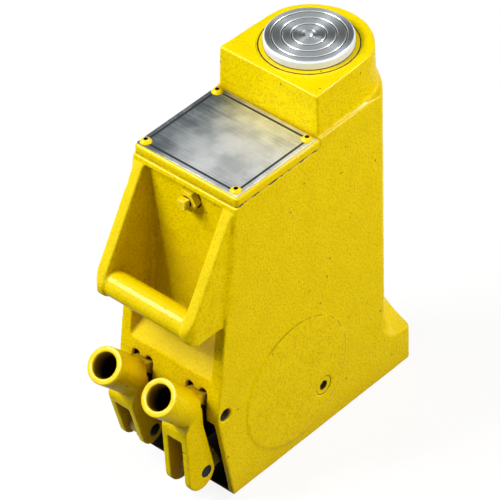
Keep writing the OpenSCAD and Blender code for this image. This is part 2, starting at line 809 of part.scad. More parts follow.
module side_plug() color(YELLOW) difference() {
    rod_x(half_w - plug_len / 2, -plug_reach, plug_h, plug_len, plug_r);
    translate([half_w, -plug_reach, plug_h]) rotate([0, 90, 0])
        cylinder(h = plug_len * 1.4, r = plug_r * 0.5, center = true, $fn = 6);
}

body_casting();
top_cover();
cover_gasket();
nameplate();
cover_screws();
cylinder_liner();
plunger();
saddle();
saddle_screw();
gland_ring();
rod_wiper();
rod_seal();
piston_bearing();
piston_seal();
load_lever();
speed_lever();
fulcrum_shaft();
fulcrum_set_screws();
load_fork_pin();
speed_fork_pin();
load_piston();
speed_piston();
load_pump_gland();
speed_pump_gland();
load_pump_seal();
speed_pump_seal();
valve_bushing();
valve_stem();
side_plug();
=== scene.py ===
"""Looks of a two-pump hydraulic jack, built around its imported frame.

The castings are softened copies of the frame's solids, the turned and ground pieces are lathed or
bevelled here, and every finish is made of shader nodes. Lengths are metres in the frame's axes.
"""

import logging
import math
from dataclasses import dataclass
from enum import Enum
from typing import Callable, Iterable, Optional, Sequence

import bmesh
import bpy
import numpy as np
from bpy.types import Material, Mesh, Node, NodeSocket, NodeTree, Object
from mathutils import Matrix, Vector, noise

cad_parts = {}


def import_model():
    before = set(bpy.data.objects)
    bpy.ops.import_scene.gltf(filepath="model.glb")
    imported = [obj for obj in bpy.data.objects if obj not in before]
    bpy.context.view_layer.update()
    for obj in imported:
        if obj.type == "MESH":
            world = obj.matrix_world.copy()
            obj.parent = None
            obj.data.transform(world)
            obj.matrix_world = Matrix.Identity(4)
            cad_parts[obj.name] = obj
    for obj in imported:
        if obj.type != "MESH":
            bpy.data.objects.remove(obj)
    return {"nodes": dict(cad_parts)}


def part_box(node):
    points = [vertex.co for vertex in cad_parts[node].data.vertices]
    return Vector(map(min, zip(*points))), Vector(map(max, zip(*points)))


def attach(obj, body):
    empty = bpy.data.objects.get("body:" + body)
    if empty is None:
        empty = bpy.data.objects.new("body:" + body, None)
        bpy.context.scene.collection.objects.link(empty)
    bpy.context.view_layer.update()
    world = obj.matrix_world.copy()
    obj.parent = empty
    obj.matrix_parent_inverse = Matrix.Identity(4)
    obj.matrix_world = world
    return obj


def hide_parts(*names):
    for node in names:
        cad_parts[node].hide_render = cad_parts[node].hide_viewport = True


LOG = logging.getLogger("jack")
MM = 0.001
IMAGE_PX = 500
NOISE_SPREAD = (0.3, 0.7)
WHITE = (1.0, 1.0, 1.0)

Colour = tuple[float, float, float]
Point = tuple[float, float, float]
Range = tuple[float, float]
Profile = Sequence[Range]
PerPoint = Callable[[np.ndarray], np.ndarray]


class Body(str, Enum):
    """Moving bodies of the frame."""

    JACK = "jack_body"
    PLUNGER = "plunger_body"
    LOAD_LEVER = "load_lever_body"
    SPEED_LEVER = "speed_lever_body"
    LOAD_PISTON = "load_piston_body"
    SPEED_PISTON = "speed_piston_body"
    VALVE = "valve_body"


class Slot(str, Enum):
    """Material slots of the frame's record, handed along with new pieces but not read."""

    PAINT = "yellow_paint"
    GROUND = "ground_steel"
    TURNED = "turned_steel"
    PLATE = "bare_plate"
    DARK = "dark_steel"


class Effect(str, Enum):
    """Shader node groups that the finishes share."""

    GRAIN = "cast_grain"
    EDGES = "edge_highlight"
    GRIME = "painted_occlusion_shade"
    STROKES = "tool_strokes"
    RINGS = "turned_rings"
    HOLLOW = "pump_hollow"
    BORE = "socket_bore"
    PAD = "pad_edge"


@dataclass
class NodeCanvas:
    """Short calls for adding, setting and joining the nodes of one tree."""

    tree: NodeTree

    def add(self, kind: str, inputs: Optional[dict] = None, **settings: object) -> Node:
        """Adds one node.

        Args:
            kind: the node's type name without its ShaderNode prefix.
            inputs: socket name or number to a value or an output socket.
            settings: the node's own properties.

        Returns:
            The new node.
        """
        node = self.tree.nodes.new("ShaderNode" + kind)
        for key, value in settings.items():
            setattr(node, key, value)
        for key, value in (inputs or {}).items():
            self.feed(node, key, value)
        return node

    def feed(self, node: Node, key: object, value: object) -> None:
        """Links an output socket to one input, or sets the input's value.

        Args:
            node: the node to set.
            key: the input's name or number.
            value: an output socket or a plain value.
        """
        if isinstance(value, NodeSocket):
            self.tree.links.new(value, node.inputs[key])
        else:
            node.inputs[key].default_value = value

    def math(self, operation: str, a: object, b: object = 0.0) -> NodeSocket:
        """Joins two values with a math node and gives its output."""
        return self.add("Math", {0: a, 1: b}, operation=operation).outputs[0]

    def plus(self, a: object, b: object) -> NodeSocket:
        """Adds two values."""
        return self.math("ADD", a, b)

    def minus(self, a: object, b: object) -> NodeSocket:
        """Takes the second value from the first."""
        return self.math("SUBTRACT", a, b)

    def times(self, a: object, b: object) -> NodeSocket:
        """Multiplies two values."""
        return self.math("MULTIPLY", a, b)

    def apart(self, a: object, b: object) -> NodeSocket:
        """Gives how far two values lie apart."""
        return self.math("ABSOLUTE", self.minus(a, b))

    def reach(self, a: object, b: object) -> NodeSocket:
        """Gives the distance that two offsets at right angles make."""
        return self.math("SQRT", self.plus(self.times(a, a), self.times(b, b)))

    def span(
        self, value: object, low: float, high: float, to_low: float = 0.0, to_high: float = 1.0
    ) -> NodeSocket:
        """Maps a value smoothly, so that low becomes to_low and high becomes to_high."""
        inputs = {"Value": value, "From Min": low, "From Max": high, "To Min": to_low, "To Max": to_high}
        return self.add("MapRange", inputs, interpolation_type="SMOOTHSTEP").outputs["Result"]

    def vary(self, value: object, low: float, high: float) -> NodeSocket:
        """Maps the usual spread of a noise to a range."""
        return self.span(value, *NOISE_SPREAD, low, high)

    def blend(self, factor: object, a: object, b: object) -> NodeSocket:
        """Mixes two colours.

        Args:
            factor: share of the second colour, 0 to 1.
            a: the first colour, as a socket or as RGB.
            b: the second colour, as a socket or as RGB.

        Returns:
            The mixed colour.
        """
        node = self.add("Mix", {0: factor}, data_type="RGBA")
        for key, value in ((6, a), (7, b)):
            self.feed(node, key, (*value, 1.0) if isinstance(value, tuple) else value)
        return node.outputs[2]

    def clouds(self, vector: object, scale: object, detail: float = 2.0, rough: float = 0.5) -> NodeSocket:
        """Adds a noise texture and gives its value from 0 to 1."""
        inputs = {"Vector": vector, "Scale": scale, "Detail": detail, "Roughness": rough}
        return self.add("TexNoise", inputs).outputs[0]

    def cells(self, vector: object, scale: object) -> NodeSocket:
        """Gives the distance to the nearest of many scattered points, in cells."""
        return self.add("TexVoronoi", {"Vector": vector, "Scale": scale}).outputs["Distance"]

    def place(self) -> NodeSocket:
        """Gives the surface point in the object's own axes."""
        return self.add("TexCoord").outputs["Object"]

    def axes(self, vector: object) -> tuple[NodeSocket, ...]:
        """Splits a vector into its x, y and z."""
        return tuple(self.add("SeparateXYZ", {0: vector}).outputs)


class GroupBuilder(NodeCanvas):
    """One shared node group, from its named inputs to its named outputs."""

    def __init__(self, effect: Effect, inputs: dict[str, float]) -> None:
        """Starts the group with its inputs and their defaults.

        Args:
            effect: the effect that gives the group its name.
            inputs: input name to default.
        """
        super().__init__(bpy.data.node_groups.new(effect.value, "ShaderNodeTree"))
        for name, value in inputs.items():
            socket = self.tree.interface.new_socket(name, in_out="INPUT", socket_type="NodeSocketFloat")
            socket.default_value = value
        self.given = self.tree.nodes.new("NodeGroupInput").outputs

    def __getitem__(self, name: str) -> NodeSocket:
        """Gives one input's socket."""
        return self.given[name]

    def close(self, **outputs: NodeSocket) -> NodeTree:
        """Ends the group with its named outputs.

        Args:
            outputs: output name to the socket that feeds it.

        Returns:
            The finished group.
        """
        for name in outputs:
            self.tree.interface.new_socket(name, in_out="OUTPUT", socket_type="NodeSocketFloat")
        end = self.tree.nodes.new("NodeGroupOutput")
        for name, value in outputs.items():
            self.feed(end, name, value)
        return self.tree


class EffectShelf:
    """Builds each shared node group once."""

    def __init__(self) -> None:
        """Makes every group with the method of its own name."""
        self.groups = {effect: getattr(self, f"_{effect.name.lower()}")() for effect in Effect}

    def _grain(self) -> NodeTree:
        """Sand-cast skin: fine grain, broad lumps, scattered pits and a few blowholes.

        Returns:
            The group, which puts out Height, Pits, Holes, Mottle and Fine.
        """
        sizes = {
            "Grain Scale": 700.0, "Lump Scale": 60.0, "Pit Scale": 150.0, "Pit Share": 0.5,
            "Hole Scale": 60.0,
        }
        c = GroupBuilder(Effect.GRAIN, sizes)
        point = c.place()
        fine = c.clouds(point, c["Grain Scale"], 3.0, 0.6)
        lump = c.clouds(point, c["Lump Scale"], 3.0, 0.5)
        near = c.span(c.cells(point, c["Pit Scale"]), 0.30, 0.12)
        sparse = c.clouds(point, c.times(c["Pit Scale"], 0.45), 1.0)
        chosen = c.math("GREATER_THAN", sparse, c.minus(1.0, c["Pit Share"]))
        pits = c.times(near, chosen)
        holes = c.span(c.cells(point, c["Hole Scale"]), 0.07, 0.035)
        raised = c.plus(c.times(fine, 0.7), c.times(lump, 0.5))
        height = c.minus(raised, c.times(pits, 0.8))
        return c.close(Height=height, Pits=pits, Holes=holes, Mottle=lump, Fine=fine)

    def _edges(self) -> NodeTree:
        """Proud edges, broken up by noise, where the enamel takes a painted highlight.

        Returns:
            The group, which puts out Proud.
        """
        c = GroupBuilder(Effect.EDGES, {"Breakup Scale": 300.0})
        sharp = c.add("NewGeometry").outputs["Pointiness"]
        broken = c.clouds(c.place(), c["Breakup Scale"], 3.0, 0.6)
        return c.close(Proud=c.times(c.span(sharp, 0.52, 0.6), c.span(broken, 0.4, 0.65)))

    def _grime(self) -> NodeTree:
        """Painted shade where surfaces meet, and broader painted shade in wide hollows, both from ambient
        occlusion.

        Returns:
            The group, which puts out Mask and Shelter.
        """
        c = GroupBuilder(Effect.GRIME, {"Reach": 4 * MM, "Wide Reach": 55 * MM, "Breakup Scale": 220.0})
        near, wide = (
            c.add("AmbientOcclusion", {"Distance": c[key]}, samples=8).outputs["AO"]
            for key in ("Reach", "Wide Reach")
        )
        broken = c.clouds(c.place(), c["Breakup Scale"], 4.0, 0.65)
        mask = c.times(c.span(near, 0.62, 0.2), c.span(broken, 0.35, 0.6))
        return c.close(Mask=mask, Shelter=c.span(wide, 0.72, 0.25))

    def _strokes(self) -> NodeTree:
        """Fine straight strokes left by a brush or a grinding wheel, along X, Y or Z by the stretches.

        Returns:
            The group, which puts out Height and Smudge.
        """
        c = GroupBuilder(Effect.STROKES, {"Scale X": 20.0, "Scale Y": 2500.0, "Scale Z": 2500.0})
        point = c.place()
        scales = c.add("CombineXYZ", {axis: c[f"Scale {axis}"] for axis in "XYZ"})
        stretched = c.add("VectorMath", {0: point, 1: scales.outputs[0]}, operation="MULTIPLY").outputs[0]
        height = c.clouds(stretched, 1.0, 3.0, 0.6)
        return c.close(Height=height, Smudge=c.clouds(point, 45.0, 4.0, 0.55))

    def _rings(self) -> NodeTree:
        """Lathe marks round the upright axis through the origin.

        Returns:
            The group, which puts out Height and Tone.
        """
        c = GroupBuilder(Effect.RINGS, {"Pitch": 0.9 * MM})
        x, y, _ = c.axes(c.place())
        turns = c.math("DIVIDE", c.reach(x, y), c["Pitch"])
        wave = c.math("SINE", c.times(turns, math.tau))
        tone = c.clouds(c.add("CombineXYZ", {"X": turns}).outputs[0], 0.9, 3.0, 0.7)
        return c.close(Height=c.plus(c.times(wave, 0.5), tone), Tone=tone)

    def _hollow(self) -> NodeTree:
        """Inside of the pump cavity, which is painted dark as shade: behind the leaning front, under a
        height, and the floor's edge.

        Returns:
            The group, which puts out Mask.
        """
        sizes = {
            "Half Width": 45.3 * MM, "Top": 105.5 * MM, "Nose Y": -163.4 * MM, "Nose Z": 84.0 * MM,
            "Lean": 0.16, "Setback": 1.0 * MM, "Floor": 6.0 * MM, "Back": -90.0 * MM,
        }
        c = GroupBuilder(Effect.HOLLOW, sizes)
        fade = 1.2 * MM
        edge = 0.6 * MM
        x, y, z = c.axes(c.place())
        front = c.plus(c["Nose Y"], c.times(c.apart(z, c["Nose Z"]), c["Lean"]))
        behind = c.span(c.minus(c.minus(y, front), c["Setback"]), 0.0, fade)
        low = c.span(c.minus(c["Floor"], z), 0.0, edge)
        mask = c.math("MAXIMUM", behind, low)
        rooms = (
            c.minus(c["Half Width"], c.math("ABSOLUTE", x)),
            c.minus(c["Top"], z),
            c.minus(c["Back"], y),
        )
        for room in rooms:
            mask = c.times(mask, c.span(room, 0.0, edge))
        return c.close(Mask=mask)

    def _bore(self) -> NodeTree:
        """Inside of the two lever sockets, painted dark as shade, from 0 at the mouth to 1 deep down.

        Returns:
            The group, which puts out Mask.
        """
        sizes = {
            "Centre X": 27.0 * MM, "Mouth Y": -200.6 * MM, "Mouth Z": 120.1 * MM, "Lean": math.radians(47.0),
            "Radius": 11.6 * MM, "Deep": 16.0 * MM,
        }
        c = GroupBuilder(Effect.BORE, sizes)
        edge = 0.5 * MM
        x, y, z = c.axes(c.place())
        across = c.minus(c.math("ABSOLUTE", x), c["Centre X"])
        y = c.minus(y, c["Mouth Y"])
        z = c.minus(z, c["Mouth Z"])
        sine = c.math("SINE", c["Lean"])
        cosine = c.math("COSINE", c["Lean"])
        depth = c.minus(c.times(y, cosine), c.times(z, sine))
        aside = c.plus(c.times(y, sine), c.times(z, cosine))
        room = c.minus(c["Radius"], c.reach(across, aside))
        down = c.span(c.math("DIVIDE", depth, c["Deep"]), 0.06, 1.0)
        return c.close(Mask=c.times(c.span(room, 0.0, edge), down))

    def _pad(self) -> NodeTree:
        """Painted shade along the upper part of the low pad's edge on the right side.

        Returns:
            The group, which puts out Mask.
        """
        sizes = {
            "Side": 48.0 * MM, "Centre Y": -78.0 * MM, "Centre Z": 64.0 * MM, "Radius": 55.3 * MM,
            "Width": 0.9 * MM, "Slant": 1.2, "Breakup Scale": 130.0,
        }
        c = GroupBuilder(Effect.PAD, sizes)
        point = c.place()
        x, y, z = c.axes(point)
        y = c.minus(y, c["Centre Y"])
        z = c.minus(z, c["Centre Z"])
        off = c.apart(c.reach(y, z), c["Radius"])
        line = c.span(c.math("DIVIDE", off, c["Width"]), 1.0, 0.3)
        upper = c.span(c.plus(c.times(y, c["Slant"]), z), -10 * MM, 30 * MM)
        beside = c.math("GREATER_THAN", x, c["Side"])
        broken = c.span(c.clouds(point, c["Breakup Scale"], 3.0), 0.3, 0.55)
        return c.close(Mask=c.times(c.times(line, upper), c.times(beside, broken)))


class MaterialBuilder(NodeCanvas):
    """One material's tree with its Principled shader."""

    def __init__(self, name: str, effects: Optional[EffectShelf] = None) -> None:
        """Makes the material and finds its shader.

        Args:
            name: the material's name.
            effects: the shared groups, for a material that uses any.
        """
        self.material = bpy.data.materials.new(name)
        self.material.use_nodes = True
        super().__init__(self.material.node_tree)
        self.effects = effects
        self.shader = self.tree.nodes["Principled BSDF"]

    def effect(self, effect: Effect, **values: float) -> bpy.types.bpy_prop_collection:
        """Places a shared group.

        Args:
            effect: the shared group's effect.
            values: the group's inputs, named with underscores for spaces.

        Returns:
            The group's outputs.
        """
        node = self.tree.nodes.new("ShaderNodeGroup")
        node.node_tree = self.effects.groups[effect]
        for key, value in values.items():
            self.feed(node, key.replace("_", " "), value)
        return node.outputs

    def surface(self, **values: object) -> None:
        """Sets or links the shader's own sockets, named with underscores for spaces."""
        for key, value in values.items():
            self.feed(self.shader, key.replace("_", " "), value)

    def bump(self, height: object, strength: float, depth: float) -> None:
        """Feeds a height into the shader's normal."""
        node = self.add("Bump", {"Height": height, "Strength": strength, "Distance": depth})
        self.surface(Normal=node.outputs["Normal"])


@dataclass(frozen=True)
class Finish:
    """A named material that is laid out from the shared effects."""

    name: str

    def build(self, effects: EffectShelf) -> Material:
        """Makes the material.

        Args:
            effects: the shared groups.

        Returns:
            The new material.
        """
        b = MaterialBuilder(self.name, effects)
        self.lay(b)
        return b.material

    def lay(self, b: MaterialBuilder) -> None:
        """Lays out the nodes, in each kind of finish's own way."""
        raise NotImplementedError


@dataclass(frozen=True)
class CastEnamel(Finish):
    """Enamel over a casting: glossy on top, with specks and pits, a painted highlight on its edges, and
    painted shade in its creases, hollows and recesses.
    """

    colour: Colour = (0.87, 0.67, 0.0)
    shade: Colour = (0.66, 0.45, 0.0)
    pit_colour: Colour = (0.30, 0.18, 0.0)
    dirt_and_shade_colour: Colour = (0.16, 0.09, 0.01)
    edge_colour: Colour = (0.97, 0.85, 0.10)
    wide_shade_colour: Colour = (0.42, 0.24, 0.01)
    recess_shade_colour: Colour = (0.006, 0.005, 0.003)
    sheen: Colour = (1.0, 0.9, 0.35)
    rough: float = 0.18
    grain_scale: float = 560.0
    pit_scale: float = 300.0
    pit_share: float = 0.27
    relief: float = 0.85
    upward: Range = (0.15, 0.6)
    gloss: float = 0.4
    gloss_rough: float = 0.12
    specular: float = 0.012
    uneven: float = 0.2
    specks_and_side_shade: Range = (0.8, 0.4)
    wear_and_painted_light: float = 0.6
    pits: float = 0.5
    holes: float = 0.9
    grime: float = 0.32
    shelter: float = 0.5
    pad_edge_shade: float = 0.0
    inside: Optional[Effect] = None
    inside_rough: float = 0.45

    def lay(self, b: MaterialBuilder) -> None:
        """Lays specks, pits, a painted edge highlight and painted shade over the paint, and a clear coat on
        what faces up.

        Args:
            b: the material's tree.
        """
        grain = b.effect(
            Effect.GRAIN, Grain_Scale=self.grain_scale, Pit_Scale=self.pit_scale, Pit_Share=self.pit_share
        )
        grime = b.effect(Effect.GRIME)
        _, _, facing = b.axes(b.add("NewGeometry").outputs["Normal"])
        # Fine dark specks: grain tone, plus painted shade of the grain's relief, stronger on side faces than
        # on faces turned up.
        specks_and_bump_shade = b.times(b.span(grain["Fine"], 0.52, 0.36), b.span(facing, *self.upward, *self.specks_and_side_shade))
        layers = [
            (b.times(b.span(grain["Mottle"], 0.35, 0.7), self.uneven), self.shade),
            (specks_and_bump_shade, self.shade),
            # Proud edges painted a paler yellow: a painted highlight.
            (b.times(b.effect(Effect.EDGES)["Proud"], self.wear_and_painted_light), self.edge_colour),
            (b.times(grain["Pits"], self.pits), self.pit_colour),
            (b.times(grain["Holes"], self.holes), self.dirt_and_shade_colour),
            # Painted shade in creases where surfaces meet, from ambient occlusion.
            (b.times(grime["Mask"], self.grime), self.dirt_and_shade_colour),
            # Broader painted shade in wide hollows such as the handle pocket and the area under the handle.
            (b.times(grime["Shelter"], self.shelter), self.wide_shade_colour),
        ]
        rough = b.span(grain["Mottle"], 0.3, 0.75, self.rough - 0.06, self.rough + 0.1)
        coat = b.span(facing, *self.upward, 0.0, self.gloss)
        # Painted shade along the upper edge of the side pad.
        if self.pad_edge_shade:
            layers.append((b.times(b.effect(Effect.PAD)["Mask"], self.pad_edge_shade), self.dirt_and_shade_colour))
        # Painted black shade inside the pump cavity or deep in the lever sockets.
        if self.inside:
            shade_mask = b.effect(self.inside)["Mask"]
            layers.append((shade_mask, self.recess_shade_colour))
            rough = b.plus(rough, b.times(shade_mask, self.inside_rough))
            coat = b.times(coat, b.minus(1.0, shade_mask))
        paint = self.colour
        for share, tone in layers:
            paint = b.blend(share, paint, tone)
        b.surface(Base_Color=paint, Roughness=rough, Coat_Weight=coat, Coat_Roughness=self.gloss_rough)
        b.surface(Specular_IOR_Level=self.specular, Specular_Tint=(*self.sheen, 1.0))
        b.bump(grain["Height"], self.relief, depth=0.9 * MM)


@dataclass(frozen=True)
class WorkedSteel(Finish):
    """Bare or blackened steel with straight tool strokes and oily smudges, and painted shade where it lies
    deep in the pump cavity.
    """

    colour: Colour
    smudge_colour: Colour
    cavity_shade_colour: Colour = (0.008, 0.006, 0.003)
    cavity_shade_setback: float = 0.0
    rough: float = 0.3
    stretch: Point = (20.0, 2500.0, 2500.0)
    metallic: float = 1.0

    def lay(self, b: MaterialBuilder) -> None:
        """Lays smudges over the metal, and painted shade on what lies deep in the pump cavity.

        Args:
            b: the material's tree.
        """
        x, y, z = self.stretch
        strokes = b.effect(Effect.STROKES, Scale_X=x, Scale_Y=y, Scale_Z=z)
        metal = b.blend(b.span(strokes["Smudge"], 0.4, 0.72), self.colour, self.smudge_colour)
        if self.cavity_shade_setback:
            shade_mask = b.effect(Effect.HOLLOW, Setback=self.cavity_shade_setback)["Mask"]
            metal = b.blend(shade_mask, metal, self.cavity_shade_colour)
        rough = b.vary(strokes["Height"], self.rough - 0.07, self.rough + 0.1)
        b.surface(Base_Color=metal, Roughness=rough, Metallic=self.metallic)
        b.bump(strokes["Height"], strength=0.12, depth=0.3 * MM)


@dataclass(frozen=True)
class TurnedSteel(Finish):
    """Bright lathe-turned steel whose reflections fan out from the middle."""

    colour: Colour = (0.72, 0.76, 0.78)
    dull: Colour = (0.50, 0.55, 0.58)
    rough: float = 0.36
    pitch: float = 0.9 * MM
    stretch: float = 0.8

    def lay(self, b: MaterialBuilder) -> None:
        """Lays the rings' tones, and stretches the reflections round the axis.

        Args:
            b: the material's tree.
        """
        rings = b.effect(Effect.RINGS, Pitch=self.pitch)
        metal = b.blend(b.span(rings["Tone"], 0.35, 0.7), self.colour, self.dull)
        rough = b.vary(rings["Tone"], self.rough - 0.06, self.rough + 0.08)
        round_axis = b.add("Tangent", direction_type="RADIAL", axis="Z").outputs[0]
        b.surface(Base_Color=metal, Roughness=rough, Metallic=1.0)
        b.surface(Anisotropic=self.stretch, Anisotropic_Rotation=0.25, Tangent=round_axis)
        b.bump(rings["Height"], strength=0.15, depth=0.12 * MM)


@dataclass(frozen=True)
class BarePlate(Finish):
    """Brushed aluminium plate with a painted darker reflection to its left, and a dark line set in from its
    edges.
    """

    low: Point
    high: Point
    colour: Colour = (0.90, 0.93, 0.94)
    dull: Colour = (0.13, 0.16, 0.18)
    line_colour: Colour = (0.010, 0.011, 0.013)
    line_inset: float = 4.0 * MM
    line_width: float = 1.9 * MM
    metallic: float = 0.9
    age: float = 2.0
    wear_and_painted_light: float = 0.33

    def lay(self, b: MaterialBuilder) -> None:
        """Lays wear and the painted darker reflection over the metal, and the line over both.

        Args:
            b: the material's tree.
        """
        strokes = b.effect(Effect.STROKES, Scale_X=14.0, Scale_Y=2600.0, Scale_Z=2600.0)
        x, y, _ = b.axes(b.place())
        insets = [
            b.minus((high - low) / 2, b.apart(value, (low + high) / 2))
            for value, low, high in zip((x, y), self.low, self.high)
        ]
        off = b.apart(b.math("MINIMUM", *insets), self.line_inset)
        line = b.span(off, self.line_width * 0.62, self.line_width * 0.42)
        smudge = b.span(strokes["Smudge"], 0.35, 0.7)
        streak = b.span(strokes["Height"], 0.35, 0.65)
        # Painted darker reflection towards the plate's left.
        left_shade = b.span(x, self.high[0] * 0.1, self.low[0])
        worn_and_shaded = b.plus(b.plus(smudge, streak), b.times(left_shade, self.age))
        metal = b.blend(b.times(worn_and_shaded, self.wear_and_painted_light), self.colour, self.dull)
        b.surface(
            Base_Color=b.blend(line, metal, self.line_colour),
            Metallic=b.span(line, 0.0, 1.0, self.metallic, 0.0),
            Roughness=b.vary(strokes["Height"], 0.4, 0.55),
        )
        b.bump(strokes["Height"], strength=0.1, depth=0.2 * MM)


@dataclass(frozen=True)
class DullSkin(Finish):
    """Matt rubber, stained thread, and the dark of dirt and painted shade in gaps and sockets, uneven in
    tone.
    """

    colour: Colour
    patch: Colour
    rough: float = 0.75

    def lay(self, b: MaterialBuilder) -> None:
        """Lays patches over the colour.

        Args:
            b: the material's tree.
        """
        grain = b.effect(Effect.GRAIN, Grain_Scale=900.0, Pit_Share=0.3)
        b.surface(
            Base_Color=b.blend(b.span(grain["Mottle"], 0.4, 0.7), self.colour, self.patch),
            Roughness=b.vary(grain["Fine"], self.rough - 0.08, self.rough + 0.08),
            Specular_IOR_Level=0.15,
        )
        b.bump(grain["Height"], strength=0.3, depth=0.4 * MM)


@dataclass(frozen=True)
class PaintedSeam(Finish):
    """Gasket edge under old paint that has cracked open here and there."""

    colour: Colour = (0.66, 0.48, 0.0)
    crack: Colour = (0.02, 0.015, 0.01)
    side: Range = (47.5 * MM, 48.5 * MM)
    cracked: Range = (0.25, 1.0)

    def lay(self, b: MaterialBuilder) -> None:
        """Lays cracks over the paint, most of them on the two long sides.

        Args:
            b: the material's tree.
        """
        grain = b.effect(Effect.GRAIN, Grain_Scale=900.0, Lump_Scale=230.0)
        x, _, _ = b.axes(b.place())
        beside = b.span(b.math("ABSOLUTE", x), *self.side, *self.cracked)
        opened = b.times(b.span(grain["Mottle"], 0.46, 0.53), beside)
        b.surface(
            Base_Color=b.blend(opened, self.colour, self.crack),
            Roughness=b.vary(grain["Fine"], 0.4, 0.6),
        )
        b.bump(grain["Height"], strength=0.4, depth=0.5 * MM)


def make_finishes() -> dict[str, Material]:
    """Makes every finish of the jack.

    Returns:
        The materials by their names.
    """
    effects = EffectShelf()
    low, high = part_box("nameplate")
    finishes = (
        CastEnamel("casting_enamel", pad_edge_shade=0.6, inside=Effect.HOLLOW),
        CastEnamel(
            "lever_enamel", rough=0.19, pit_share=0.25, relief=0.2, grain_scale=700.0,
            shelter=0.85, inside=Effect.BORE, recess_shade_colour=(0.02, 0.012, 0.003),
        ),
        CastEnamel("trim_enamel", rough=0.17, pit_share=0.2, relief=0.12, grain_scale=900.0, grime=0.4),
        PaintedSeam("painted_gasket"),
        BarePlate("bare_plate_brushed", tuple(low), tuple(high)),
        TurnedSteel("saddle_turned"),
        WorkedSteel("ram_ground", (0.52, 0.54, 0.56), (0.45, 0.47, 0.49), stretch=(900.0, 900.0, 2600.0)),
        # Pistons and glands take painted shade deep in the pump cavity.
        WorkedSteel(
            "piston_ochre", (0.42, 0.30, 0.03), (0.20, 0.14, 0.03),
            rough=0.5, metallic=0.0, cavity_shade_setback=3 * MM,
        ),
        WorkedSteel("gland_soot_and_shade", (0.10, 0.09, 0.07), (0.05, 0.04, 0.03), rough=0.5, cavity_shade_setback=3 * MM),
        WorkedSteel("saddle_rim_sheen", (0.72, 0.79, 0.92), (0.66, 0.73, 0.86), rough=0.45, metallic=0.1),
        WorkedSteel("bearing_bronze_turned", (0.55, 0.36, 0.16), (0.38, 0.24, 0.10)),
        WorkedSteel("pin_blackened", (0.010, 0.014, 0.020), (0.005, 0.007, 0.010), rough=0.42),
        DullSkin("seal_rubber_matt", (0.012, 0.012, 0.012), (0.03, 0.03, 0.03)),
        DullSkin("thread_stained", (0.11, 0.08, 0.025), (0.04, 0.03, 0.01), rough=0.5),
        DullSkin("gap_shade_and_dirt", (0.02, 0.015, 0.008), (0.05, 0.035, 0.01), rough=0.8),
    )
    return {finish.name: finish.build(effects) for finish in finishes}


def add_object(name: str, data: bpy.types.ID) -> Object:
    """Links a new object to the scene.

    Args:
        name: the object's name.
        data: its mesh, light or camera.

    Returns:
        The new object.
    """
    obj = bpy.data.objects.new(name, data)
    bpy.context.scene.collection.objects.link(obj)
    return obj


def add_sheet(name: str, width: float, height: float) -> Object:
    """Links a flat sheet of the stage to the scene.

    Args:
        name: the sheet's name.
        width: its length along X.
        height: its length along Y.

    Returns:
        The new object.
    """
    bm = bmesh.new()
    bmesh.ops.create_grid(bm, x_segments=8, y_segments=8, size=0.5)
    bmesh.ops.scale(bm, vec=(width, height, 1.0), verts=bm.verts)
    return Bench.to_object(bm, name)


def ramp(value: np.ndarray, start: float, end: float) -> np.ndarray:
    """Goes from 0 at the start to 1 at the end, and stays level beyond both."""
    return np.clip((value - start) / (end - start), 0.0, 1.0)


def ring_outline(inner: float, outer: float, low: float, high: float) -> Profile:
    """Gives a plain ring's outline as radii and heights."""
    return [(inner, low), (outer, low), (outer, high), (inner, high)]


def quarter_turn(place: Point, axis: str, sense: int = 1) -> Matrix:
    """Gives the move that lays an upright piece over round an axis and takes it to its place."""
    return Matrix.Translation(place) @ Matrix.Rotation(sense * math.pi / 2, 4, axis)


